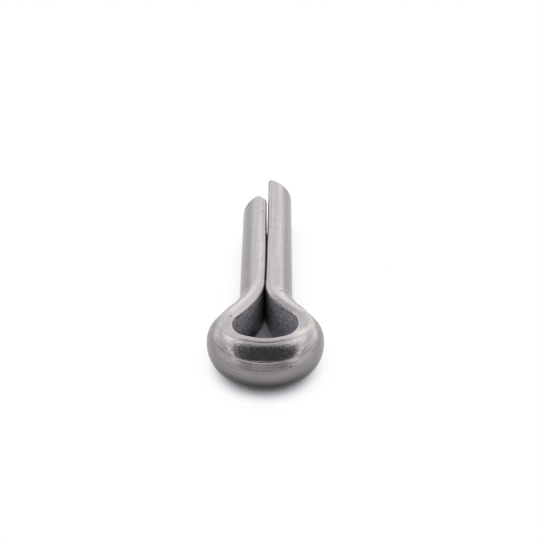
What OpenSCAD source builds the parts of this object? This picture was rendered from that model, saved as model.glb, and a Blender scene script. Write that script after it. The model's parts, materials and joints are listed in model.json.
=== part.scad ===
// Cotter pin, as it is before use: half-round steel wire folded over on itself,
// flat to flat, with a round eye at the fold and one leg longer than the other.
// It lies on z = 0, with the eye towards -Y, the legs towards +Y and the long
// leg on +X. Lengths are in millimetres and angles in degrees.

/* [Wire] */
// Diameter of the closed shank, across both legs
shank_d = 5.7; // [4.7:0.1:6.9]
// Gap between the flats of the two legs
leg_gap = 0.2; // [0.1:0.02:0.6]
// Radius on the long edges of the half-round wire, along the legs
edge_r = 0.6; // [0.3:0.05:0.75]
// Bevel on the same edges round the eye, where bending has squeezed them out
bent_edge = 0.25; // [0.15:0.05:0.4]
// How much fuller the wire is, all round, where it has been bent
bend_swell = 0.03; // [0.02:0.01:0.05]

/* [Eye] */
// Inside diameter of the eye
eye_bore_d = 6.5; // [5.4:0.1:7.8]
// Angle between each side of the neck and the shank
neck_angle = 40; // [33:1:48]
// Radius of the bend from the neck into a leg, on the flat of the wire
neck_bend_r = 5.6; // [4.6:0.1:6.8]

/* [Legs] */
// Length of the long leg, from the neck's bend
long_leg = 20.2; // [18:0.1:60]
// Length of the short leg, from the neck's bend
short_leg = 17.1; // [14:0.1:60]
// Lean of the sheared ends, off square
cut_lean = 11; // [0:1:20]

/* [Hidden] */
$fn = 96;

shank_r = shank_d / 2;
flat_x = leg_gap / 2;           // from the shank's axis to the wire's flat
wire_t = shank_r - flat_x;      // thickness of the wire, from flat to crown

// Centre of the rounding on the wire's upper edge, which touches both the flat
// and the round side
edge_x = flat_x + edge_r;
edge_z = sqrt(pow(shank_r - edge_r, 2) - pow(edge_x, 2));
edge_angle = atan2(edge_z, edge_x);

// The neck's straight stretch runs between the eye's arc and the neck's bend,
// and touches both
eye_path_r = eye_bore_d / 2 + bend_swell;
neck_run = (eye_path_r * cos(neck_angle) - flat_x - neck_bend_r * (1 - cos(neck_angle)))
    / sin(neck_angle);
eye_y = -(neck_bend_r + eye_path_r) * sin(neck_angle) - neck_run * cos(neck_angle);
crown_y = eye_y - eye_path_r - wire_t - bend_swell;

plug = 0.15;                    // how far straight wire runs on into a bend
cut_block = 3 * shank_d;        // larger than what a slanting cut takes off

// Half the height of bent wire that is grown all round, at the outside of its bevel
function bent_edge_z(grow) =
    sqrt(pow(shank_r + grow, 2) - pow(flat_x - grow + bent_edge, 2));

// Height of the shank's axis as the pin lies
axis_h = max(edge_z + edge_r, bent_edge_z(bend_swell));

// Half-round section of the straight wire, with rounded edges. The round side's
// centre is the origin and the flat is on its +X side.
module wire_section() {
    intersection() {
        circle(r = shank_r);
        polygon([
            [flat_x, -edge_z],
            [edge_x, -edge_z],
            2 * shank_r * [cos(edge_angle), -sin(edge_angle)],
            2 * shank_r * [1, -1],
            2 * shank_r * [1, 1],
            2 * shank_r * [cos(edge_angle), sin(edge_angle)],
            [edge_x, edge_z],
            [flat_x, edge_z],
        ]);
    }
    for (side = [-1, 1])
        translate([edge_x, side * edge_z]) circle(r = edge_r);
}

// Section of the wire where it has been bent, with sharper edges, grown all round
module bent_section(grow = 0) {
    x = flat_x - grow;
    z = bent_edge_z(grow);
    intersection() {
        circle(r = shank_r + grow);
        polygon([
            [x, bent_edge - z],
            [x + 2 * bent_edge, -bent_edge - z],
            2 * shank_r * [1, -1],
            2 * shank_r * [1, 1],
            [x + 2 * bent_edge, bent_edge + z],
            [x, z - bent_edge],
        ]);
    }
}

// What is drawn, as a straight bar from one place to another on the Y axis. What
// is on the drawing's +X side stays there.
module bar(from, to) {
    translate([0, to, 0])
        rotate([90, 0, 0])
            linear_extrude(height = to - from) children();
}

// The eye's arc, with the wire's flat on the inside
module eye_arc() {
    translate([0, eye_y, 0])
        rotate([0, 0, 180 - neck_angle])
            rotate_extrude(angle = 180 + 2 * neck_angle)
                translate([eye_path_r - flat_x, 0]) bent_section(bend_swell);
}

// Straight stretch from the eye's arc to the neck's bend, on the +X side
module neck_side() {
    translate([0, eye_y, 0])
        rotate([0, 0, neck_angle])
            translate([eye_path_r - flat_x, 0, 0])
                bar(-plug, neck_run + plug) bent_section();
}

// Bend from the neck into the leg, with the wire's flat on the outside
module neck_bend() {
    translate([flat_x + neck_bend_r, 0, 0])
        rotate([0, 0, 180])
            rotate_extrude(angle = neck_angle)
                translate([neck_bend_r + flat_x, 0])
                    mirror([1, 0]) bent_section(bend_swell);
}

// Leg along the shank, sheared so that its flat is left the longest
module leg(length) {
    difference() {
        bar(-plug, length) wire_section();
        translate([flat_x, length, 0])
            rotate([0, 0, -cut_lean])
                translate([-cut_block / 2, 0, -cut_block / 2]) cube(cut_block);
    }
}

// One side of the pin from the eye to the leg's end, on the +X side
module side_of_pin(leg_length) {
    neck_side();
    neck_bend();
    leg(leg_length);
}

module cotter_pin() {
    color([0.66, 0.65, 0.65])
        translate([0, -(long_leg + crown_y) / 2, axis_h]) {
            eye_arc();
            side_of_pin(long_leg);
            mirror([1, 0, 0]) side_of_pin(short_leg);
        }
}

cotter_pin();
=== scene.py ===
"""Cotter pin of half-round stainless wire, bent to an eye, with its two legs flat to flat.

One piece stands for the pin. A Geometry Nodes tree sweeps the wire's half-round section along
the bent path, squeezes it in the bends, presses the forming tool's marks into it and leans its
sheared ends. Lengths are metres.
"""

import json
import math

import bmesh
import bpy
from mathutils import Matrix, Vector


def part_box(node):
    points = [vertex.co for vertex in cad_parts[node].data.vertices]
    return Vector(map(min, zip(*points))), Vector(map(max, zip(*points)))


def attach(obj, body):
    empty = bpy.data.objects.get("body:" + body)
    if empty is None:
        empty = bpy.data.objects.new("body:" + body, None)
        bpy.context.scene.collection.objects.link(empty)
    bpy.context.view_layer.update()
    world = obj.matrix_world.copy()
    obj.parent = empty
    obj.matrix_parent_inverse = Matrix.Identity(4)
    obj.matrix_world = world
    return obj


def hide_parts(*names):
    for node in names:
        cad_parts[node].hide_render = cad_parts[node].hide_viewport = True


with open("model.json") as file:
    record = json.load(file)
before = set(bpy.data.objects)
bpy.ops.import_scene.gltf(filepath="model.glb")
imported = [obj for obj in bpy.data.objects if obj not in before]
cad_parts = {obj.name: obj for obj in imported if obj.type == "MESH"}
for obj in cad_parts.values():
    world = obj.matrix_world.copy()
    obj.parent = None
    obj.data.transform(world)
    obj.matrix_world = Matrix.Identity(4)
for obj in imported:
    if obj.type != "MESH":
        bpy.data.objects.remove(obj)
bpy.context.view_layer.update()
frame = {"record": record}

MM = 0.001

# With this, a Map Range node eases in and out. Where its From Min is the higher number, its
# result falls from 1 to 0 as the value rises
SMOOTH = {"interpolation_type": "SMOOTHSTEP"}

# ---------------- sizes

mounts = {mount["name"]: mount for mount in frame["record"]["mounts"]}
low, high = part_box("cotter_pin")

SHANK_R = mounts["shank"]["dims"]["r_mm"] * MM
NECK_Y = mounts["shank"]["pos_m"][1]
EYE_Y = mounts["eye"]["pos_m"][1]
AXIS_H = (low.z + high.z) / 2
# From the middle of the slit to each leg's flat
FLAT_X = 0.1 * MM
# How much the wire swells where it is bent
SWELL = 0.03 * MM
NECK_ANGLE = math.radians(40)
NECK_BEND_R = 5.6 * MM
# The rounding of the section's long edges, on the legs and where the wire is bent
LEG_EDGE_R = 0.38 * MM
BENT_EDGE_R = 0.25 * MM
# The sheared ends: how they lean, over what length of the wire, and their rounded rim
CUT_LEAN = math.radians(11)
LEAN_REACH = 2 * MM
CUT_EDGE_R = 0.12 * MM
# The point of the section that a cut's face closes on
FACE_MIDDLE = (1.25 * MM, 0.0, 0.0)

EYE_PATH_R = high.x - SHANK_R - SWELL + FLAT_X
NECK_RUN = (EYE_PATH_R * math.cos(NECK_ANGLE) - FLAT_X
            - NECK_BEND_R * (1 - math.cos(NECK_ANGLE))) / math.sin(NECK_ANGLE)

# Where each stretch of the wire ends, measured along its flat from the crown of the eye
ARC_END = EYE_PATH_R * (math.pi / 2 + NECK_ANGLE)
RUN_END = ARC_END + NECK_RUN
BEND_END = RUN_END + NECK_BEND_R * NECK_ANGLE
LONG_END = BEND_END + high.y - NECK_Y
SHORT_END = LONG_END - 3.1 * MM

# The steps between sections along the bends, the legs and the ends
BEND_STEP = 0.075 * MM
LEG_STEP = 0.3 * MM
END_STEP = 0.1 * MM
# The rings round a cut's rim, and how much of its face is left inside each ring on it
RIM_RINGS = 6
FACE_RINGS = (0.95, 0.88, 0.78, 0.66, 0.52, 0.38, 0.24, 0.12, 0.0)
# The points along half the section's round side, its edge and its flat
ROUND_POINTS = 42
EDGE_POINTS = 14
FLAT_POINTS = 16


def add(tree, kind, settings=None, inputs=None):
    """Adds a node with its settings. An input takes a value, or another node's output."""
    node = tree.nodes.new(kind)
    for name, value in (settings or {}).items():
        setattr(node, name, value)
    for socket, value in (inputs or {}).items():
        if isinstance(value, bpy.types.NodeSocket):
            tree.links.new(value, node.inputs[socket])
        else:
            node.inputs[socket].default_value = value
    return node


def linear(hex_colour):
    """The linear RGBA of an sRGB colour written as hex."""
    channels = [int(hex_colour[i:i + 2], 16) / 255 for i in (0, 2, 4)]
    return [c / 12.92 if c <= 0.04045 else ((c + 0.055) / 1.055) ** 2.4 for c in channels] + [1.0]


# ---------------- the wire's path


def place_on_wire(along):
    """Where the wire's flat is, and which way its round side faces, at a distance along it
    from the crown. The long leg's side is positive."""
    side = -1.0 if along < 0 else 1.0
    s = abs(along)
    if s < RUN_END:
        turn = min(s, ARC_END) / EYE_PATH_R - math.pi / 2
        out = Vector((math.cos(turn), math.sin(turn), 0))
        onward = Vector((-out.y, out.x, 0))
        place = Vector((0, EYE_Y, 0)) + EYE_PATH_R * out + max(0, s - ARC_END) * onward
    else:
        turn = max(0, BEND_END - s) / NECK_BEND_R
        out = Vector((math.cos(turn), math.sin(turn), 0))
        place = Vector((FLAT_X + NECK_BEND_R, NECK_Y + max(0, s - BEND_END), 0))
        place -= NECK_BEND_R * out
    return Vector((side * place.x, place.y, AXIS_H)), Vector((side * out.x, out.y, 0))


def spread(start, end, step):
    """Evenly spaced numbers from start up to, and not including, end."""
    count = max(1, round((end - start) / step))
    return [start + (end - start) * i / count for i in range(count)]


def stations_of_side(end):
    """From the crown to a cut end: the distance along the wire, how far the section is drawn
    in at the cut's rim, and how much of the cut's face is left inside the ring."""
    rows = []
    for start, stop, step in ((0, BEND_END, BEND_STEP), (BEND_END, end - LEAN_REACH, LEG_STEP),
                              (end - LEAN_REACH, end - CUT_EDGE_R, END_STEP)):
        rows += [(s, 0.0, 1.0) for s in spread(start, stop, step)]
    for i in range(RIM_RINGS):
        a = math.radians(90 * i / (RIM_RINGS - 1))
        rows.append((end - CUT_EDGE_R * (1 - math.sin(a)), CUT_EDGE_R * (1 - math.cos(a)), 1.0))
    rows += [(end, CUT_EDGE_R, left) for left in FACE_RINGS]
    return rows


# What the points of the path, and then of the section, carry into the sweep
CARRIED = {
    "along": "FLOAT", "rim_inset": "FLOAT", "face_left": "FLOAT", "land_edge": "FLOAT",
    "ridge_at": "FLOAT", "ridge_bright": "FLOAT", "flat_spread": "FLOAT_VECTOR",
    "land_plane": "FLOAT_VECTOR", "flat_at": "FLOAT_VECTOR", "outward": "FLOAT_VECTOR",
    "straight_place": "FLOAT_VECTOR", "straight_facing": "FLOAT_VECTOR",
    "bent_place": "FLOAT_VECTOR", "bent_facing": "FLOAT_VECTOR",
}


def attribute(mesh, name, values):
    """Stores what each vertex carries under a name: a number or a vector."""
    made = mesh.attributes.new(name, CARRIED[name], "POINT")
    if CARRIED[name] == "FLOAT":
        made.data.foreach_set("value", values)
    else:
        made.data.foreach_set("vector", [x for v in values for x in v])


def line_object(name, points, closed):
    """A line of edges, from which the sweep makes a curve."""
    mesh = bpy.data.meshes.new(name)
    edges = [(i, i + 1) for i in range(len(points) - 1)]
    if closed:
        edges.append((len(points) - 1, 0))
    mesh.from_pydata(points, edges, [])
    made = bpy.data.objects.new(name, mesh)
    bpy.context.scene.collection.objects.link(made)
    return made


# How far the flat is squeezed towards the eye's middle, out of round in the eye and to close the
# slit at the neck: the distance from the crown, then the squeeze at the flat's upper edge on the
# short and the long leg's side, and at its lower edge on each, all in millimetres
FLAT_SPREAD = [
    (0, 0.56, 0.56, 0.12, 0.12), (1.5, 0.42, 0.42, 0.1, 0.1), (2.4, 0.16, 0.2, 0.05, 0.05),
    (3.0, -0.06, 0.03, 0, 0), (4.4, -0.15, -0.08, 0, 0), (5.6, 0.1, 0, 0, 0),
    (6.4, 0.38, 0.14, 0, 0.05), (7.6, 0.46, 0.36, -0.18, 0.04), (9.0, 0.28, 0.36, -0.36, 0.04),
    (10.4, 0.06, 0.33, -0.26, 0.08), (11.6, 0, 0.27, -0.16, 0.12), (13.1, 0, 0.17, -0.09, 0.26),
    (16, 0.05, 0.11, -0.04, 0.1), (20, 0.05, 0.08, 0, 0), (23, 0.02, 0.02, 0, 0),
    (34, 0, 0, 0, 0),
]

# The land pressed flat round the hole: the distance from the crown, the way the land faces and
# where its outer edge lies round the section, both in degrees above level
LAND = [(0, 86.5, 82.8), (1.5, 86, 80.6), (2.4, 83.5, 75.5), (3.1, 80, 70.5),
        (4.1, 75, 62), (5.2, 71, 53), (5.9, 73, 56), (6.8, 78, 66),
        (7.8, 84, 79), (9, 86, 85), (11, 86, 86), (34, 86, 86)]

# The ridge along the top of the wire with its painted highlight, and painted shade where it runs
# round the crown: the distance along from the crown and the height round the section, in
# millimetres, and how bright it is
RIDGE = [(-34, 3.5, 0.0), (-26, 3.6, 0.06), (-18.5, 3.75, 0.16), (-13, 3.5, 0.15),
         (-10.6, 3.18, 0.28), (-8.8, 3.4, 0.3), (-7.1, 3.72, 0.26), (-5.9, 3.6, 0.14),
         (-4.6, 2.6, 0.1), (-3.2, 3.0, 0.14), (-1.6, 4.2, -0.12), (0, 4.4, -0.22),
         (2.0, 4.2, -0.05), (3.5, 3.75, 0.24), (4.4, 3.2, 0.3), (5.2, 2.8, 0.28), (6.5, 3.0, 0.1),
         (8.2, 3.5, 0.14), (9.5, 3.4, 0.14), (10.9, 3.2, 0.08), (14.2, 3.39, 0.06),
         (19, 3.08, 0.12), (26, 3.1, 0.04), (34, 3.1, 0.0)]


def read_off(table, s, column=1):
    """A value from a table by its first column, on a smooth curve through its rows."""
    i = max(j for j, row in enumerate(table[:-1]) if row[0] <= s)
    rows = [table[max(0, i - 1)], table[i], table[i + 1], table[min(len(table) - 1, i + 2)]]
    width = rows[2][0] - rows[1][0]
    t = min(1.0, (s - rows[1][0]) / width)
    start, end = rows[1][column], rows[2][column]
    slope_in = width * (end - rows[0][column]) / (rows[2][0] - rows[0][0])
    slope_out = width * (rows[3][column] - start) / (rows[3][0] - rows[1][0])
    return (start * (1 + 2 * t) * (1 - t) ** 2 + slope_in * t * (1 - t) ** 2
            + end * t * t * (3 - 2 * t) + slope_out * t * t * (t - 1))


def land_plane(along):
    """The land's direction in the section and its distance from the section's middle."""
    faces = math.radians(read_off(LAND, abs(along) / MM))
    edge = math.radians(read_off(LAND, abs(along) / MM, 2))
    return math.cos(faces), math.sin(faces), (SHANK_R + SWELL) * math.cos(faces - edge)


def flat_spread(along):
    """How far the flat's upper and lower edges lie towards the slit's middle."""
    side = 1 if along < 0 else 2
    return [read_off(FLAT_SPREAD, abs(along) / MM, side) * MM,
            read_off(FLAT_SPREAD, abs(along) / MM, side + 2) * MM, 0.0]


def path_object():
    """The wire's flat, from the short leg's cut round the eye to the long leg's cut."""
    short_side = [(-s, inset, left) for s, inset, left in stations_of_side(SHORT_END)]
    stations = short_side[:0:-1] + stations_of_side(LONG_END)
    alongs, insets, lefts = zip(*stations)
    flats, outs = zip(*[place_on_wire(s) for s in alongs])
    made = line_object("wire_path", list(flats), False)
    for name, values in (
            ("along", alongs), ("rim_inset", insets), ("face_left", lefts),
            ("flat_at", flats), ("outward", outs),
            ("land_edge", [math.radians(read_off(LAND, abs(s) / MM, 2)) * SHANK_R
                           for s in alongs]),
            ("ridge_at", [read_off(RIDGE, s / MM) * MM for s in alongs]),
            ("ridge_bright", [read_off(RIDGE, s / MM, 2) for s in alongs]),
            ("flat_spread", [flat_spread(s) for s in alongs]),
            ("land_plane", [land_plane(s) for s in alongs])):
        attribute(made.data, name, values)
    return made


# ---------------- the wire's section


def upper_section(edge_r, grow):
    """The half-round outline from its outermost point up and over the edge to the middle of
    the flat. Each row is a point and the way it faces; X is away from the flat, Y is up."""
    flat = FLAT_X - grow
    radius = SHANK_R + grow
    centre_x = flat + edge_r
    centre_y = math.sqrt((radius - edge_r) ** 2 - centre_x ** 2)
    arc_end = math.atan2(centre_y, centre_x)
    rows = []
    for i in range(ROUND_POINTS):
        a = arc_end * i / ROUND_POINTS
        rows.append((radius * math.cos(a), radius * math.sin(a), math.cos(a), math.sin(a)))
    for i in range(EDGE_POINTS):
        a = arc_end + (math.pi - arc_end) * i / EDGE_POINTS
        rows.append((centre_x + edge_r * math.cos(a), centre_y + edge_r * math.sin(a),
                     math.cos(a), math.sin(a)))
    for i in range(FLAT_POINTS):
        rows.append((flat, centre_y * (1 - i / (FLAT_POINTS - 1)), -1.0, 0.0))
    return rows


def whole_section(edge_r, grow):
    """The closed outline, from the flat's middle under the round side and up."""
    upper = upper_section(edge_r, grow)
    lower = [(x, -y, nx, -ny) for x, y, nx, ny in upper[:0:-1]]
    return lower + upper[:-1]


def section_object():
    """The legs' section as a closed line, which also holds the bent wire's section."""
    straight = whole_section(LEG_EDGE_R, 0.0)
    bent = whole_section(BENT_EDGE_R, SWELL)
    made = line_object("wire_section", [(x, y, 0) for x, y, _, _ in straight], True)
    for name, rows in (("straight", straight), ("bent", bent)):
        attribute(made.data, name + "_place", [(x, y, 0) for x, y, _, _ in rows])
        attribute(made.data, name + "_facing", [(x, y, 0) for _, _, x, y in rows])
    return made


def section_direction(degrees):
    """A direction in the section, at an angle above level."""
    a = math.radians(degrees)
    return math.cos(a), math.sin(a), 0.0


# How the tools' flats face in the section, and over what distance each runs out
BAND_FACES = section_direction(55)
FLANK_FACES = section_direction(36)
CORNER_FACES = section_direction(132)
LAND_SOFT = 0.05 * MM
BAND_SOFT = 0.12 * MM
FLANK_SOFT = 0.03 * MM
LEG_SOFT = 0.09 * MM
CORNER_SOFT = 0.5 * MM
# How far above and below the flat's middle the squeezes in FLAT_SPREAD hold in full
FLAT_EDGE = 2.4 * MM
# Half the width of the ridge's painted highlight
RIDGE_HALF = 0.62 * MM
# How near two points of the swept mesh lie to be one
JOIN_WITHIN = 1e-7


# ---------------- the sweep and its tool marks


def between(tree, value, rises, falls):
    """1 where the value lies between two edges, each a pair of numbers, and 0 beyond them."""
    up = add(tree, "ShaderNodeMapRange", SMOOTH,
             {"Value": value, "From Min": rises[0], "From Max": rises[1]})
    down = add(tree, "ShaderNodeMapRange", SMOOTH,
               {"Value": value, "From Min": falls[1], "From Max": falls[0]})
    both = add(tree, "ShaderNodeMath", {"operation": "MULTIPLY"},
               {0: up.outputs[0], 1: down.outputs[0]})
    return both.outputs[0]


def weighted_sum(tree, start, terms):
    """A starting value with every term added to it. A term is a value and its weight."""
    total = start
    for value, weight in terms:
        total = add(tree, "ShaderNodeMath", {"operation": "MULTIPLY_ADD"},
                    {0: value, 1: weight, 2: total}).outputs[0]
    return total


def mixed_section(tree, straight, bent, share):
    """The straight wire's value where the share is 0 and the bent wire's where it is 1."""
    change = add(tree, "ShaderNodeVectorMath", {"operation": "SUBTRACT"}, {0: bent, 1: straight})
    scaled = add(tree, "ShaderNodeVectorMath", {"operation": "SCALE"},
                 {0: change.outputs[0], "Scale": share})
    return add(tree, "ShaderNodeVectorMath", {"operation": "ADD"},
               {0: straight, 1: scaled.outputs[0]}).outputs[0]


def squeeze_flat(tree, carried, place, side):
    """The section with its flat squeezed in, by one amount at its upper edge and another at
    its lower edge."""
    on_flat = add(tree, "ShaderNodeMapRange", SMOOTH,
                  {"Value": side, "From Min": 0.75, "From Max": 0.1}).outputs[0]
    up = add(tree, "ShaderNodeSeparateXYZ", None, {0: place}).outputs["Y"]
    spreads = add(tree, "ShaderNodeSeparateXYZ", None, {0: carried["flat_spread"]}).outputs
    by_height = add(tree, "ShaderNodeMapRange", None,
                    {"Value": up, "From Min": -FLAT_EDGE, "From Max": FLAT_EDGE,
                     "To Min": spreads["Y"], "To Max": spreads["X"]}).outputs[0]
    spread_in = add(tree, "ShaderNodeMath", {"operation": "MULTIPLY"}, {0: on_flat, 1: by_height})
    inwards = add(tree, "ShaderNodeCombineXYZ", None, {"X": spread_in.outputs[0]})
    return add(tree, "ShaderNodeVectorMath", {"operation": "SUBTRACT"},
               {0: place, 1: inwards.outputs[0]}).outputs[0]


def press(tree, place, plane, distance, amount, softness):
    """Moves what stands beyond a plane in the section back towards it, by a share."""
    reach = add(tree, "ShaderNodeVectorMath", {"operation": "DOT_PRODUCT"},
                {0: place, 1: plane}).outputs["Value"]
    beyond = add(tree, "ShaderNodeMath", {"operation": "SUBTRACT"}, {0: reach, 1: distance})
    excess = add(tree, "ShaderNodeMath", {"operation": "SMOOTH_MAX"},
                 {0: beyond.outputs[0], 1: 0.0, 2: softness})
    step = add(tree, "ShaderNodeMath", {"operation": "MULTIPLY"},
               {0: excess.outputs[0], 1: amount})
    move = add(tree, "ShaderNodeVectorMath", {"operation": "SCALE"},
               {0: plane, "Scale": step.outputs[0]})
    return add(tree, "ShaderNodeVectorMath", {"operation": "SUBTRACT"},
               {0: place, 1: move.outputs[0]}).outputs[0]


def press_marks(tree, given, carried, place, from_crown, around):
    """The bending tools' marks: a flat land round the top of the hole, a band rolled flat round
    the front of the eye, a flat on each flank behind it, a shallow one down each leg, and a
    corner off the short leg's tip."""
    land = add(tree, "ShaderNodeSeparateXYZ", None, {0: carried["land_plane"]}).outputs
    land_faces = add(tree, "ShaderNodeCombineXYZ", None, {"X": land["X"], "Y": land["Y"]})
    place = press(tree, place, land_faces.outputs[0], land["Z"], 1.0, LAND_SOFT)

    band_share = add(tree, "ShaderNodeMapRange", SMOOTH,
                     {"Value": from_crown, "From Min": 1.5 * MM, "From Max": 3.0 * MM,
                      "To Min": 0.85, "To Max": 0.0}).outputs[0]
    place = press(tree, place, BAND_FACES, given["Band Distance"], band_share, BAND_SOFT)

    # The flank's flat begins further back the higher it is
    high = add(tree, "ShaderNodeMath", {"operation": "MAXIMUM"}, {0: around, 1: 1.0 * MM})
    slanted = add(tree, "ShaderNodeMath", {"operation": "MULTIPLY_ADD"},
                  {0: high.outputs[0], 1: -0.86, 2: from_crown})
    flank_share = between(tree, slanted.outputs[0], (3.6 * MM, 4.1 * MM), (5.8 * MM, 9.6 * MM))
    place = press(tree, place, FLANK_FACES, given["Flank Distance"], flank_share, FLANK_SOFT)

    leg_share = between(tree, from_crown, (10.2 * MM, 12.4 * MM), (15.0 * MM, 27.0 * MM))
    place = press(tree, place, FLANK_FACES, given["Leg Flat Distance"], leg_share, LEG_SOFT)

    to_tip = add(tree, "ShaderNodeMath", {"operation": "ADD"},
                 {0: carried["along"], 1: given["Short End"]})
    corner = add(tree, "ShaderNodeMath", {"operation": "MULTIPLY_ADD"},
                 {0: to_tip.outputs[0], 1: 0.5, 2: 1.25 * MM})
    return press(tree, place, CORNER_FACES, corner.outputs[0], 1.0, CORNER_SOFT)


def draw_in(tree, carried, place, facing):
    """Draws the section in round a cut's rim, and the rings of the cut's face to its middle."""
    inset = add(tree, "ShaderNodeVectorMath", {"operation": "SCALE"},
                {0: facing, "Scale": carried["rim_inset"]})
    rimmed = add(tree, "ShaderNodeVectorMath", {"operation": "SUBTRACT"},
                 {0: place, 1: inset.outputs[0]})
    from_middle = add(tree, "ShaderNodeVectorMath", {"operation": "SUBTRACT"},
                      {0: rimmed.outputs[0], 1: FACE_MIDDLE})
    left = add(tree, "ShaderNodeVectorMath", {"operation": "SCALE"},
               {0: from_middle.outputs[0], "Scale": carried["face_left"]})
    return add(tree, "ShaderNodeVectorMath", {"operation": "ADD"},
               {0: left.outputs[0], 1: FACE_MIDDLE}).outputs[0]


def set_out(tree, given, carried, in_section):
    """Where each point of the section lies on the path. The cuts lean back from the flat to the
    round side."""
    off_flat = add(tree, "ShaderNodeMath", {"operation": "SUBTRACT"},
                   {0: in_section["X"], 1: given["Flat Offset"]}).outputs[0]
    sideways = add(tree, "ShaderNodeVectorMath", {"operation": "SCALE"},
                   {0: carried["outward"], "Scale": off_flat})
    beyond = add(tree, "ShaderNodeVectorMath", {"operation": "ADD"},
                 {0: carried["flat_at"], 1: sideways.outputs[0]})
    turned = add(tree, "ShaderNodeMath", {"operation": "MULTIPLY"},
                 {0: carried["along"], 1: -1.0})
    shares = []
    for distance, end in ((carried["along"], given["Long End"]),
                          (turned.outputs[0], given["Short End"])):
        lean_from = add(tree, "ShaderNodeMath", {"operation": "SUBTRACT"},
                        {0: end, 1: LEAN_REACH})
        share = add(tree, "ShaderNodeMapRange", None,
                    {"Value": distance, "From Min": lean_from.outputs[0], "From Max": end})
        shares.append(share.outputs[0])
    lean = add(tree, "ShaderNodeMath", {"operation": "MAXIMUM"}, {0: shares[0], 1: shares[1]})
    for factor in (off_flat, given["Cut Slope"], -1.0):
        lean = add(tree, "ShaderNodeMath", {"operation": "MULTIPLY"},
                   {0: lean.outputs[0], 1: factor})
    rise = add(tree, "ShaderNodeCombineXYZ", None, {"Y": lean.outputs[0], "Z": in_section["Y"]})
    return add(tree, "ShaderNodeVectorMath", {"operation": "ADD"},
               {0: beyond.outputs[0], 1: rise.outputs[0]}).outputs[0]


def finish_guides(tree, carried, in_section, around, side, bent):
    """What the finish follows: the place across the section, up it and along the wire, the
    bent wire's inside, the distance up from the land's edge, and the ridge's painted highlight."""
    in_wire = add(tree, "ShaderNodeCombineXYZ", None,
                  {"X": in_section["X"], "Y": in_section["Y"], "Z": carried["along"]})
    inner = add(tree, "ShaderNodeMapRange", SMOOTH,
                {"Value": side, "From Min": -0.7, "From Max": -0.99})
    on_inside = add(tree, "ShaderNodeMath", {"operation": "MULTIPLY"},
                    {0: inner.outputs[0], 1: bent})
    from_land = add(tree, "ShaderNodeMath", {"operation": "SUBTRACT"},
                    {0: around, 1: carried["land_edge"]})
    off_ridge = add(tree, "ShaderNodeMath", {"operation": "SUBTRACT"},
                    {0: around, 1: carried["ridge_at"]})
    off_ridge = add(tree, "ShaderNodeMath", {"operation": "ABSOLUTE"}, {0: off_ridge.outputs[0]})
    near_ridge = add(tree, "ShaderNodeMapRange", SMOOTH,
                     {"Value": off_ridge.outputs[0], "From Min": RIDGE_HALF, "From Max": 0.0})
    on_ridge = add(tree, "ShaderNodeMath", {"operation": "MULTIPLY"},
                   {0: near_ridge.outputs[0], 1: carried["ridge_bright"]})
    return (("in_wire", "FLOAT_VECTOR", in_wire.outputs[0]),
            ("on_inside", "FLOAT", on_inside.outputs[0]),
            ("from_land", "FLOAT", from_land.outputs[0]),
            ("on_ridge", "FLOAT", on_ridge.outputs[0]))


TREE_INPUTS = {
    "Section": ("NodeSocketObject", None),
    "Squeezed From": ("NodeSocketFloat", BEND_END + MM),
    "Squeezed To": ("NodeSocketFloat", ARC_END),
    "Flat Offset": ("NodeSocketFloat", FLAT_X),
    "Band Distance": ("NodeSocketFloat", 2.76 * MM),
    "Flank Distance": ("NodeSocketFloat", 2.66 * MM),
    "Leg Flat Distance": ("NodeSocketFloat", 2.81 * MM),
    "Long End": ("NodeSocketFloat", LONG_END),
    "Short End": ("NodeSocketFloat", SHORT_END),
    "Cut Slope": ("NodeSocketFloat", math.tan(CUT_LEAN)),
    "Drawn Finish": ("NodeSocketMaterial", None),
    "Cut Finish": ("NodeSocketMaterial", None),
}


def new_tree():
    """An empty tree that takes a path and, as named inputs, the sizes."""
    tree = bpy.data.node_groups.new("bent_wire", "GeometryNodeTree")
    tree.interface.new_socket("Geometry", in_out="INPUT", socket_type="NodeSocketGeometry")
    for name, (kind, default) in TREE_INPUTS.items():
        socket = tree.interface.new_socket(name, in_out="INPUT", socket_type=kind)
        if default is not None:
            socket.default_value = default
    tree.interface.new_socket("Geometry", in_out="OUTPUT", socket_type="NodeSocketGeometry")
    return tree


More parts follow.
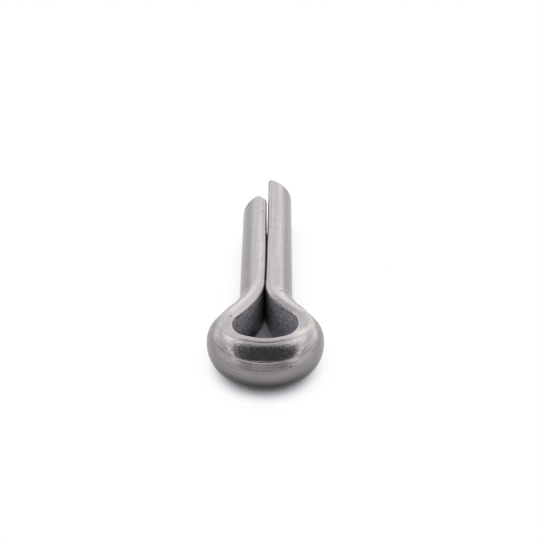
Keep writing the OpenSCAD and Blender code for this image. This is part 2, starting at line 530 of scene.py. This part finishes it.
def wire_tree():
    """Sweeps the section along the path and marks it."""
    tree = new_tree()
    given = add(tree, "NodeGroupInput").outputs
    path = add(tree, "GeometryNodeMeshToCurve", None, {"Mesh": given["Geometry"]})
    ring = add(tree, "GeometryNodeObjectInfo", None, {"Object": given["Section"]})
    profile = add(tree, "GeometryNodeMeshToCurve", None, {"Mesh": ring.outputs["Geometry"]})
    swept = add(tree, "GeometryNodeCurveToMesh", None,
                {"Curve": path.outputs[0], "Profile Curve": profile.outputs[0]})
    carried = {}
    for name, kind in CARRIED.items():
        carried[name] = add(tree, "GeometryNodeInputNamedAttribute", {"data_type": kind},
                            {"Name": name}).outputs["Attribute"]

    from_crown = add(tree, "ShaderNodeMath", {"operation": "ABSOLUTE"},
                     {0: carried["along"]}).outputs[0]
    bent = add(tree, "ShaderNodeMapRange", SMOOTH,
               {"Value": from_crown, "From Min": given["Squeezed From"],
                "From Max": given["Squeezed To"]}).outputs[0]
    place = mixed_section(tree, carried["straight_place"], carried["bent_place"], bent)
    facing = mixed_section(tree, carried["straight_facing"], carried["bent_facing"], bent)
    side = add(tree, "ShaderNodeSeparateXYZ", None, {0: facing}).outputs["X"]
    squeezed = squeeze_flat(tree, carried, place, side)

    # How far round the section each point is, up from the outermost point
    parts = add(tree, "ShaderNodeSeparateXYZ", None, {0: squeezed}).outputs
    turned_up = add(tree, "ShaderNodeMath", {"operation": "ARCTAN2"},
                    {0: parts["Y"], 1: parts["X"]})
    around = add(tree, "ShaderNodeMath", {"operation": "MULTIPLY"},
                 {0: turned_up.outputs[0], 1: SHANK_R}).outputs[0]

    marked = press_marks(tree, given, carried, squeezed, from_crown, around)
    drawn_in = draw_in(tree, carried, marked, facing)
    in_section = add(tree, "ShaderNodeSeparateXYZ", None, {0: drawn_in}).outputs
    position = set_out(tree, given, carried, in_section)
    shaped = add(tree, "GeometryNodeSetPosition", None,
                 {"Geometry": swept.outputs[0], "Position": position})
    for name, kind, value in finish_guides(tree, carried, in_section, around, side, bent):
        shaped = add(tree, "GeometryNodeStoreNamedAttribute",
                     {"data_type": kind, "domain": "POINT"},
                     {"Geometry": shaped.outputs[0], "Name": name, "Value": value})

    drawn = add(tree, "GeometryNodeSetMaterial", None,
                {"Geometry": shaped.outputs[0], "Material": given["Drawn Finish"]})
    on_cut = add(tree, "FunctionNodeCompare", {"data_type": "FLOAT", "operation": "LESS_THAN"},
                 {0: carried["face_left"], 1: 0.97})
    cut = add(tree, "GeometryNodeSetMaterial", None,
              {"Geometry": drawn.outputs[0], "Selection": on_cut.outputs[0],
               "Material": given["Cut Finish"]})
    real = add(tree, "GeometryNodeRealizeInstances", None, {"Geometry": cut.outputs[0]})
    add(tree, "NodeGroupOutput", None, {"Geometry": real.outputs[0]})
    return tree


def make_pin(drawn_finish, cut_finish):
    """Runs the sweep, keeps its result as a plain mesh, and closes the middles of the cuts."""
    path = path_object()
    section = section_object()
    tree = wire_tree()
    sockets = {item.name: item.identifier for item in tree.interface.items_tree
               if item.in_out == "INPUT"}
    sweep = path.modifiers.new("sweep", "NODES")
    sweep.node_group = tree
    sweep[sockets["Section"]] = section
    sweep[sockets["Drawn Finish"]] = drawn_finish
    sweep[sockets["Cut Finish"]] = cut_finish
    graph = bpy.context.evaluated_depsgraph_get()
    mesh = bpy.data.meshes.new_from_object(path.evaluated_get(graph), depsgraph=graph)
    path.modifiers.clear()
    bpy.data.objects.remove(path)
    bpy.data.objects.remove(section)

    shape = bmesh.new()
    shape.from_mesh(mesh)
    bmesh.ops.remove_doubles(shape, verts=shape.verts, dist=JOIN_WITHIN)
    bmesh.ops.recalc_face_normals(shape, faces=shape.faces)
    for face in shape.faces:
        face.smooth = True
    shape.to_mesh(mesh)
    shape.free()
    for name in CARRIED:
        mesh.attributes.remove(mesh.attributes[name])
    mesh.name = "bent_wire"
    pin = bpy.data.objects.new("bent_wire", mesh)
    bpy.context.scene.collection.objects.link(pin)
    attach(pin, "root")
    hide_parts("cotter_pin")


# ---------------- finishes


def new_material(name):
    """A material with an empty tree."""
    material = bpy.data.materials.new(name)
    material.use_nodes = True
    tree = material.node_tree
    tree.nodes.clear()
    return material, tree


def tinted(tree, base, layers):
    """A colour with tints laid over it. A layer is how much of it shows and its colour."""
    colour = linear(base)
    for share, tint in layers:
        colour = add(tree, "ShaderNodeMix", {"data_type": "RGBA"},
                     {0: share, 6: colour, 7: linear(tint)}).outputs[2]
    return colour


def wire_coordinates(tree):
    """Where a point is in the wire: its place across and along, its distance round the section
    up from the outermost point, and its distance along the wire from the crown."""
    in_wire = add(tree, "ShaderNodeAttribute", {"attribute_name": "in_wire"}).outputs["Vector"]
    part = add(tree, "ShaderNodeSeparateXYZ", None, {0: in_wire}).outputs
    turned = add(tree, "ShaderNodeMath", {"operation": "ARCTAN2"}, {0: part["Y"], 1: part["X"]})
    around = add(tree, "ShaderNodeMath", {"operation": "MULTIPLY"},
                 {0: turned.outputs[0], 1: SHANK_R})
    return in_wire, around.outputs[0], part["Z"]


def fine_line(tree, value, middle, half_width):
    """1 where the value is at the middle of a line, falling to 0 at half its width."""
    off = add(tree, "ShaderNodeMath", {"operation": "SUBTRACT"}, {0: value, 1: middle})
    away = add(tree, "ShaderNodeMath", {"operation": "ABSOLUTE"}, {0: off.outputs[0]})
    return add(tree, "ShaderNodeMapRange", SMOOTH,
               {"Value": away.outputs[0], "From Min": half_width, "From Max": 0.0}).outputs[0]


# Lines that the tools have scratched lengthways: height round the section, half-width, start
# and end along the wire, all in millimetres, and depth as a share of the deepest
DIE_LINES = [(1.68, 0.1, -2.0, 1.5, 1.0), (1.42, 0.08, -0.6, 2.3, 0.6),
             (1.98, 0.07, -1.1, 0.6, 0.5), (1.1, 0.09, -1.6, 2.0, 0.45),
             (0.72, 0.07, -2.4, 1.0, 0.2), (1.87, 0.1, -3.75, -2.5, 0.9),
             (2.2, 0.08, -4.3, -3.4, 0.3), (1.45, 0.07, -4.6, -1.4, 0.2),
             (1.0, 0.07, -5.2, -2.8, 0.3), (1.78, 0.07, 2.0, 5.0, 0.4),
             (1.4, 0.07, 2.6, 5.6, 0.4), (1.05, 0.06, 2.2, 5.0, 0.35),
             (0.6, 0.07, 2.4, 5.4, 0.3), (0.5, 0.07, -5.4, -2.0, 0.3)]
# The length over which a line fades at each end, in millimetres
LINE_FADE = 0.6

# The folded burr is part of a ring round a point of the surface. It begins and ends along the
# wire, and its depth is a share of the deepest line's
BURR_HUB = (2.66 * MM, 10.3 * MM, 0.0)
BURR_R = 0.85 * MM
BURR_HALF_WIDTH = 0.11 * MM
BURR_BEGINS = (10.7 * MM, 10.95 * MM)
BURR_ENDS = (12 * MM, 12.2 * MM)
BURR_DEPTH = 1.5

# Brown pits: height round the section, distance along, and radius, in millimetres
PITS = [(1.14, 1.5, 0.1), (4.0, -5.9, 0.13), (3.95, -26.3, 0.13), (2.0, 19.0, 0.08),
        (2.9, -15.0, 0.07), (-1.5, 8.0, 0.12), (-0.8, -14.0, 0.1), (-2.2, 24.0, 0.12)]


def tool_marks(tree, around, along, here):
    """Lines scratched along the wire and a folded burr across it: 1 at a full-depth mark."""
    lines = []
    for place, half_width, start, end, depth in DIE_LINES:
        across = fine_line(tree, around, place * MM, half_width * MM)
        within = between(tree, along, (start * MM, (start + LINE_FADE) * MM),
                         ((end - LINE_FADE) * MM, end * MM))
        line = add(tree, "ShaderNodeMath", {"operation": "MULTIPLY"}, {0: across, 1: within})
        lines.append((line.outputs[0], depth))
    from_hub = add(tree, "ShaderNodeVectorMath", {"operation": "DISTANCE"},
                   {0: here, 1: BURR_HUB}).outputs["Value"]
    burr = add(tree, "ShaderNodeMath", {"operation": "MULTIPLY"},
               {0: fine_line(tree, from_hub, BURR_R, BURR_HALF_WIDTH),
                1: between(tree, along, BURR_BEGINS, BURR_ENDS)})
    return weighted_sum(tree, 0.0, lines + [(burr.outputs[0], BURR_DEPTH)])


def brown_pits(tree, here):
    """1 in the pits where the steel has browned."""
    brown = 0.0
    for place, distance, radius in PITS:
        off = add(tree, "ShaderNodeVectorMath", {"operation": "DISTANCE"},
                  {0: here, 1: (place * MM, distance * MM, 0.0)}).outputs["Value"]
        pit = add(tree, "ShaderNodeMapRange", SMOOTH,
                  {"Value": off, "From Min": radius * MM, "From Max": 0.3 * radius * MM})
        brown = add(tree, "ShaderNodeMath", {"operation": "MAXIMUM"},
                    {0: pit.outputs[0], 1: brown}).outputs[0]
    return brown


# The patterns' sizes. Draw lines are 0.02 to 0.05 mm apart and pickled grain is 0.03 mm across:
# both are coarser here, and so are the specks of a rough flat, so that they show
LINE_GAP = 0.14 * MM
LINE_LENGTH = 9 * MM
GRAIN = 0.15 * MM
SPECK = 0.27 * MM
PATCH = 1.2 * MM

# The zones of the finish: whether a zone is on both sides of the crown, then the stretches in
# which it begins and ends round the section and along the wire, in millimetres
ZONES = {
    # The band rolled round the front of the eye, and painted shade where it runs out at either end
    "band": (False, (1.8, 2.1), (3.6, 3.8), (-3.2, -2.0), (2.0, 3.2)),
    "band_end_shade": (True, (1.2, 1.7), (2.7, 3.4), (1.9, 2.3), (2.8, 3.8)),
    # Where the former rubbed the top of the long leg's neck, and the darker strip beside it
    "rubbed": (False, (3.95, 4.2), (4.7, 4.9), (6.2, 7.0), (9.8, 10.6)),
    "valley": (False, (3.6, 4.0), (4.1, 4.5), (5.2, 6.2), (8.0, 9.6)),
    # Painted shade on the flanks of the neck, and painted light on the sides of the legs
    "scaled": (True, (0.2, 0.5), (1.6, 2.2), (5.4, 6.2), (8.2, 9.2)),
    "leg_side_light": (True, (0.25, 0.6), (1.6, 1.9), (11.5, 14.0), (30.0, 34.0)),
}


def wire_patterns(tree, in_wire):
    """Draw lines, pickled grain, specks and broad patches."""
    lengthways = add(tree, "ShaderNodeVectorMath", {"operation": "MULTIPLY"},
                     {0: in_wire, 1: (1 / LINE_GAP, 1 / LINE_GAP, 1 / LINE_LENGTH)})
    patterns = {}
    for name, place, scale, detail, roughness in (
            ("lines", lengthways.outputs[0], 1.0, 2.0, 0.5),
            ("grain", in_wire, 1 / GRAIN, 3.0, 0.65),
            ("specks", in_wire, 1 / SPECK, 2.0, 0.6),
            ("patches", in_wire, 1 / PATCH, 3.0, 0.5)):
        patterns[name] = add(tree, "ShaderNodeTexNoise", None,
                             {"Vector": place, "Scale": scale, "Detail": detail,
                              "Roughness": roughness}).outputs["Fac"]
    patterns["specks"] = add(tree, "ShaderNodeMapRange", SMOOTH,
                             {"Value": patterns["specks"], "From Min": 0.38, "From Max": 0.68,
                              "To Min": -0.4, "To Max": 0.85}).outputs[0]
    return patterns


def under_side(tree, across, around, from_crown):
    """1 under the wire, where its steel is darkened by painted shade: from a little above its
    outermost point in the eye, and from that point down on the legs. The flats between the legs
    are left out."""
    dark_from = add(tree, "ShaderNodeMapRange", SMOOTH,
                    {"Value": from_crown, "From Min": 9 * MM, "From Max": 13 * MM,
                     "To Min": 0.65 * MM, "To Max": 0.0})
    below = add(tree, "ShaderNodeMapRange", SMOOTH,
                {"Value": around, "From Min": dark_from.outputs[0], "From Max": -1.1 * MM})
    round_side = add(tree, "ShaderNodeMapRange", SMOOTH,
                     {"Value": across, "From Min": 0.12 * MM, "From Max": 0.5 * MM})
    return add(tree, "ShaderNodeMath", {"operation": "MULTIPLY"},
               {0: below.outputs[0], 1: round_side.outputs[0]}).outputs[0]


def wire_zones(tree, in_wire, around, along):
    """How far each point is in each zone of the finish, from 0 to 1."""
    from_crown = add(tree, "ShaderNodeMath", {"operation": "ABSOLUTE"}, {0: along}).outputs[0]
    part = add(tree, "ShaderNodeSeparateXYZ", None, {0: in_wire}).outputs
    zones = {}
    for name, (both_sides, *ranges) in ZONES.items():
        rises, falls, begins, ends = [[edge * MM for edge in pair] for pair in ranges]
        zones[name] = add(tree, "ShaderNodeMath", {"operation": "MULTIPLY"},
                          {0: between(tree, around, rises, falls),
                           1: between(tree, from_crown if both_sides else along, begins,
                                      ends)}).outputs[0]
    for name, source in (("flat", "on_inside"), ("ridge", "on_ridge")):
        zones[name] = add(tree, "ShaderNodeAttribute",
                          {"attribute_name": source}).outputs["Fac"]
    zones["under"] = under_side(tree, part["X"], around, from_crown)

    # The flat is rough except where the bending rod rubbed it at the crown. Painted light brightens
    # it in the neck, and it is darker along the hole's rim. The former has rubbed the round side
    # only
    past_crown = add(tree, "ShaderNodeMapRange", SMOOTH,
                     {"Value": from_crown, "From Min": 3.2 * MM, "From Max": 6.0 * MM})
    by_rim = add(tree, "ShaderNodeMapRange", SMOOTH,
                 {"Value": part["Y"], "From Min": 2.3 * MM, "From Max": 2.5 * MM})
    in_neck = between(tree, from_crown, (8.4 * MM, 10.4 * MM), (12.6 * MM, 14.5 * MM))
    off_flat = add(tree, "ShaderNodeMath", {"operation": "SUBTRACT"}, {0: 1.0, 1: zones["flat"]})
    edge = add(tree, "ShaderNodeAttribute", {"attribute_name": "from_land"}).outputs["Fac"]
    round_hole = between(tree, along, (-6.4 * MM, -5.2 * MM), (5.2 * MM, 6.4 * MM))
    for name, first, second in (
            ("rough_flat", zones["flat"], past_crown.outputs[0]),
            ("rim", zones["flat"], by_rim.outputs[0]),
            ("neck_flat_light", in_neck, zones["flat"]),
            ("rubbed", zones["rubbed"], off_flat.outputs[0]),
            ("groove", fine_line(tree, edge, -0.02 * MM, 0.2 * MM), round_hole)):
        zones[name] = add(tree, "ShaderNodeMath", {"operation": "MULTIPLY"},
                          {0: first, 1: second}).outputs[0]
    return zones


def wire_relief(tree, zones, patterns, marks, pits):
    """The surface's fine heights: the grain, deepest on the rough flat, and the lines, marks,
    pits and groove, all in millimetres."""
    grain_depth = weighted_sum(tree, 0.006, ((zones["band"], 0.003), (zones["rough_flat"], 0.02),
                                             (zones["rubbed"], 0.003)))
    grain = add(tree, "ShaderNodeMath", {"operation": "MULTIPLY"},
                {0: patterns["grain"], 1: grain_depth})
    height = weighted_sum(tree, grain.outputs[0], (
        (patterns["lines"], 0.006), (marks, -0.015), (pits, -0.03), (zones["groove"], -0.011)))
    return add(tree, "ShaderNodeBump", None, {"Height": height, "Distance": 1 * MM,
                                              "Strength": 1.0}).outputs[0]


def wire_tone(tree, zones, patterns, marks):
    """How bright the bare steel is left by the grain, lines and marks on it, with painted shade
    under it, on the neck's flanks, at the band's ends and in the groove, and painted light on
    the legs' sides, on the flat in the neck and on the ridge."""
    speckled = []
    for pattern, zone, weight in (("specks", "rough_flat", 1.0), ("grain", "rubbed", 1.9),
                                  ("specks", "band", 0.32)):
        both = add(tree, "ShaderNodeMath", {"operation": "MULTIPLY"},
                   {0: patterns[pattern], 1: zones[zone]})
        speckled.append((both.outputs[0], weight))
    # Painted shade on the neck's flanks, the band's ends and the groove; painted light on the legs'
    # sides, the neck's flat and the ridge
    tone = weighted_sum(tree, 0.53, [
        (patterns["grain"], 0.5), (patterns["lines"], 0.44), (marks, -0.5),
        (zones["scaled"], -0.55), (zones["groove"], -0.16), (zones["band_end_shade"], -0.3),
        (zones["rim"], -0.4), (zones["leg_side_light"], 0.12), (zones["neck_flat_light"], 0.35),
        (zones["valley"], -0.18), (zones["rubbed"], -1.15), (zones["flat"], -0.25),
        (zones["rough_flat"], 0.55), (zones["ridge"], 1.0)] + speckled)
    # Painted shade: the underside is darkened, by up to 92 percent
    dull = add(tree, "ShaderNodeMath", {"operation": "MULTIPLY_ADD"},
               {0: zones["under"], 1: -0.92, 2: 1.0})
    tone = add(tree, "ShaderNodeMath", {"operation": "MULTIPLY"}, {0: tone, 1: dull.outputs[0]})
    return add(tree, "ShaderNodeMath", {"operation": "MAXIMUM"},
               {0: tone.outputs[0], 1: 0.0}).outputs[0]


def wire_colour(tree, zones, patches, tone, pits):
    """The steel's colour: a little warmer under the ridge's painted highlight, cooler on the flat,
    brown in the pits.
    """
    colour = tinted(tree, "878485", ((patches, "979294"), (zones["ridge"], "9C9786"),
                                     (zones["flat"], "8C8A8F")))
    toned = add(tree, "ShaderNodeVectorMath", {"operation": "SCALE"}, {0: colour, "Scale": tone})
    return add(tree, "ShaderNodeMix", {"data_type": "RGBA"},
               {0: pits, 6: toned.outputs[0], 7: linear("3E2E24")}).outputs[2]


def drawn_stainless():
    """Stainless wire, drawn through a die, bent and pickled: satin grey, with fine lines along
    it and an even grain, burnished smoother where the bending tools pressed. The rough flat
    inside the bends, with its matt pickled skin, shines less than bare metal."""
    material, tree = new_material("drawn_stainless_steel")
    in_wire, around, along = wire_coordinates(tree)
    patterns = wire_patterns(tree, in_wire)
    zones = wire_zones(tree, in_wire, around, along)
    here = add(tree, "ShaderNodeCombineXYZ", None, {"X": around, "Y": along}).outputs[0]
    marks = tool_marks(tree, around, along, here)
    pits = brown_pits(tree, here)
    tone = wire_tone(tree, zones, patterns, marks)
    rough_zone = add(tree, "ShaderNodeMath", {"operation": "MAXIMUM"},
                     {0: zones["rough_flat"], 1: zones["rubbed"]})
    rough = weighted_sum(tree, 0.2, ((patterns["patches"], 0.12), (zones["band"], -0.07),
                                     (rough_zone.outputs[0], 0.2)))
    metal = add(tree, "ShaderNodeMath", {"operation": "MULTIPLY_ADD"},
                {0: zones["flat"], 1: -0.65, 2: 1.0})
    shader = add(tree, "ShaderNodeBsdfPrincipled", None,
                 {"Base Color": wire_colour(tree, zones, patterns["patches"], tone, pits),
                  "Metallic": metal.outputs[0], "Roughness": rough,
                  "Normal": wire_relief(tree, zones, patterns, marks, pits)})
    add(tree, "ShaderNodeOutputMaterial", None, {"Surface": shader.outputs[0]})
    return material


def sheared_stainless():
    """The same steel where a blade has sheared it: dull and granular, with a few brown pits."""
    material, tree = new_material("sheared_stainless_steel")
    place = add(tree, "ShaderNodeTexCoord").outputs["Object"]
    grain = add(tree, "ShaderNodeTexNoise", None,
                {"Vector": place, "Scale": 1 / (0.16 * MM), "Detail": 4.0,
                 "Roughness": 0.65}).outputs["Fac"]
    mottle = add(tree, "ShaderNodeTexNoise", None,
                 {"Vector": place, "Scale": 1 / (0.7 * MM), "Detail": 3.0}).outputs["Fac"]
    cells = add(tree, "ShaderNodeTexVoronoi", None, {"Vector": place, "Scale": 1 / (0.62 * MM)})
    pit = add(tree, "ShaderNodeMapRange", SMOOTH,
              {"Value": cells.outputs["Distance"], "From Min": 0.17,
               "From Max": 0.08}).outputs[0]
    height = weighted_sum(tree, grain, ((mottle, 1.5), (pit, -1.0)))
    bump = add(tree, "ShaderNodeBump", None,
               {"Height": height, "Distance": 0.035 * MM, "Strength": 1.0})
    shader = add(tree, "ShaderNodeBsdfPrincipled", None,
                 {"Base Color": tinted(tree, "7C7876", ((mottle, "9A9694"), (pit, "57493F"))),
                  "Metallic": 1.0, "Roughness": 0.5,
                  "Normal": bump.outputs[0]})
    add(tree, "ShaderNodeOutputMaterial", None, {"Surface": shader.outputs[0]})
    return material


def white_paper():
    """A sheet of matt white paper: no shine. It shows white to the eye and to the steel where it
    lies open, and keeps its shadow close round the pin. Its colour is also painted darker and
    purpler where the pin crowds it, a painted shadow."""
    material, tree = new_material("matt_white_paper")
    glow = add(tree, "ShaderNodeEmission", None, {"Color": linear("FFFFFF"), "Strength": 1.0})
    near = add(tree, "ShaderNodeAmbientOcclusion", {"samples": 8}, {"Distance": 9 * MM})
    lies_open = add(tree, "ShaderNodeMapRange", SMOOTH,
                    {"Value": near.outputs["AO"], "From Min": 0.16, "From Max": 0.7}).outputs[0]
    # Painted shadow: the paper's colour darkens where the pin crowds it
    shader = add(tree, "ShaderNodeBsdfPrincipled", None,
                 {"Base Color": tinted(tree, "D0C8D6", ((lies_open, "F5F3FB"),)),
                  "Roughness": 1.0, "Specular IOR Level": 0.0})
    rays = add(tree, "ShaderNodeLightPath").outputs
    seen = 0.0
    for kind in ("Is Camera Ray", "Is Glossy Ray", "Is Transmission Ray"):
        seen = add(tree, "ShaderNodeMath", {"operation": "ADD", "use_clamp": True},
                   {0: rays[kind], 1: seen}).outputs[0]
    share = add(tree, "ShaderNodeMath", {"operation": "MULTIPLY"}, {0: seen, 1: lies_open})
    surface = add(tree, "ShaderNodeMixShader", None,
                  {0: share.outputs[0], 1: shader.outputs[0], 2: glow.outputs[0]})
    add(tree, "ShaderNodeOutputMaterial", None, {"Surface": surface.outputs[0]})
    return material


# ---------------- floor, light and camera

FLOOR_HALF = 3.0


def make_floor():
    """A wide sheet of paper, level under the pin."""
    mesh = bpy.data.meshes.new("floor")
    corners = [(x * FLOOR_HALF, y * FLOOR_HALF, 0) for x, y in ((-1, -1), (1, -1), (1, 1), (-1, 1))]
    mesh.from_pydata(corners, [], [(0, 1, 2, 3)])
    mesh.materials.append(white_paper())
    floor = bpy.data.objects.new("floor", mesh)
    bpy.context.scene.collection.objects.link(floor)


# The light tent's panels: which way each lies, in degrees from straight behind the pin towards
# the long leg's side, its height above level, half its width, and its brightness
PANELS = [
    (-150, 0, 26, 0.2), (-110, 0, 26, 0.66), (-70, 0, 26, 1.22), (-35, 0, 26, 1.06),
    (0, 0, 26, 1.06), (35, 0, 26, 1.6), (70, 0, 26, 1.36), (110, 0, 26, 0.78),
    (150, 0, 26, 0.5), (180, 0, 26, 0.4), (-60, 28, 20, 0.51), (-30, 28, 20, 1.02),
    (0, 28, 20, 1.06), (30, 28, 20, 0.76), (60, 28, 20, 0.66), (-105, 28, 28, 1.25),
    (105, 28, 28, 1.42), (-150, 28, 28, 0.38), (-75, 55, 24, 1.75), (-30, 55, 24, 1.33),
    (30, 55, 24, 1.6), (75, 55, 24, 1.7), (-125, 55, 28, 0.66), (125, 55, 28, 0.93),
    (180, 55, 28, 2.2), (180, 80, 22, 1.2),
]
# The tent's opening is a kite on its ceiling. For each side: how it runs across and away from
# the pin, and where it is shut and where wide open
OPENING_SIDES = [(1.0, 1.25, 0.74, 0.58), (-0.418, 1.0, -1.4, -0.75), (0.5, 1.0, 0.6, 0.5)]
# The brightness of what shows through it
OPENING = 0.105


def soft_panel(tree, direction, azimuth, elevation, half_width):
    """1 in the middle of a round panel of the tent, falling smoothly to 0 at its rim."""
    a = math.radians(azimuth)
    e = math.radians(elevation)
    middle = (math.sin(a) * math.cos(e), math.cos(a) * math.cos(e), math.sin(e))
    nearness = add(tree, "ShaderNodeVectorMath", {"operation": "DOT_PRODUCT"},
                   {0: direction, 1: middle}).outputs["Value"]
    return add(tree, "ShaderNodeMapRange", SMOOTH,
               {"Value": nearness, "From Min": math.cos(math.radians(half_width * 1.3)),
                "From Max": math.cos(math.radians(half_width * 0.3))}).outputs[0]


def tent_opening(tree, direction):
    """1 where the tent is open, overhead and towards the front, and 0 on its walls."""
    part = add(tree, "ShaderNodeSeparateXYZ", None, {0: direction}).outputs
    height = add(tree, "ShaderNodeMath", {"operation": "MAXIMUM"}, {0: part["Z"], 1: 0.05})
    aside = add(tree, "ShaderNodeMath", {"operation": "ABSOLUTE"}, {0: part["X"]})
    across = add(tree, "ShaderNodeMath", {"operation": "DIVIDE"},
                 {0: aside.outputs[0], 1: height.outputs[0]}).outputs[0]
    away = add(tree, "ShaderNodeMath", {"operation": "DIVIDE"},
               {0: part["Y"], 1: height.outputs[0]}).outputs[0]
    open_here = 1.0
    for run_across, run_away, shut, wide_open in OPENING_SIDES:
        line = weighted_sum(tree, 0.0, ((across, run_across), (away, run_away)))
        inside = add(tree, "ShaderNodeMapRange", SMOOTH,
                     {"Value": line, "From Min": shut, "From Max": wide_open})
        open_here = add(tree, "ShaderNodeMath", {"operation": "MULTIPLY"},
                        {0: inside.outputs[0], 1: open_here}).outputs[0]
    return open_here


def make_light(panels, opening_level):
    """A white tent lit from behind and from the sides, with a dark opening overhead."""
    world = bpy.data.worlds.new("light_tent")
    world.use_nodes = True
    tree = world.node_tree
    tree.nodes.clear()
    bpy.context.scene.world = world
    direction = add(tree, "ShaderNodeTexCoord").outputs["Generated"]
    level = weighted_sum(tree, 0.0, [
        (soft_panel(tree, direction, azimuth, elevation, half_width), brightness)
        for azimuth, elevation, half_width, brightness in panels])
    strength = add(tree, "ShaderNodeMix", {"data_type": "FLOAT"},
                   {0: tent_opening(tree, direction), 2: level, 3: opening_level})
    sky = add(tree, "ShaderNodeBackground", None,
              {"Color": linear("FFFFFF"), "Strength": strength.outputs[0]})
    add(tree, "ShaderNodeOutputWorld", None, {"Surface": sky.outputs[0]})


CAMERA_PLACE = (1.141 * MM, -104.415 * MM, 80.428 * MM)
CAMERA_LOOKS = (-0.005758, 0.808108, -0.589006)
# Both in millimetres, as lenses are sold
CAMERA_LENS = 78.61
CAMERA_SENSOR = 36.0


def make_camera():
    """Looks down on the pin from the side of its eye."""
    data = bpy.data.cameras.new("camera")
    data.lens = CAMERA_LENS
    data.sensor_width = CAMERA_SENSOR
    data.clip_start = 0.01
    camera = bpy.data.objects.new("camera", data)
    bpy.context.scene.collection.objects.link(camera)
    camera.location = CAMERA_PLACE
    camera.rotation_euler = Vector(CAMERA_LOOKS).to_track_quat("-Z", "Y").to_euler()
    bpy.context.scene.camera = camera


bpy.context.scene.view_settings.view_transform = "Standard"
make_camera()
make_light(PANELS, OPENING)
make_floor()
make_pin(drawn_stainless(), sheared_stainless())
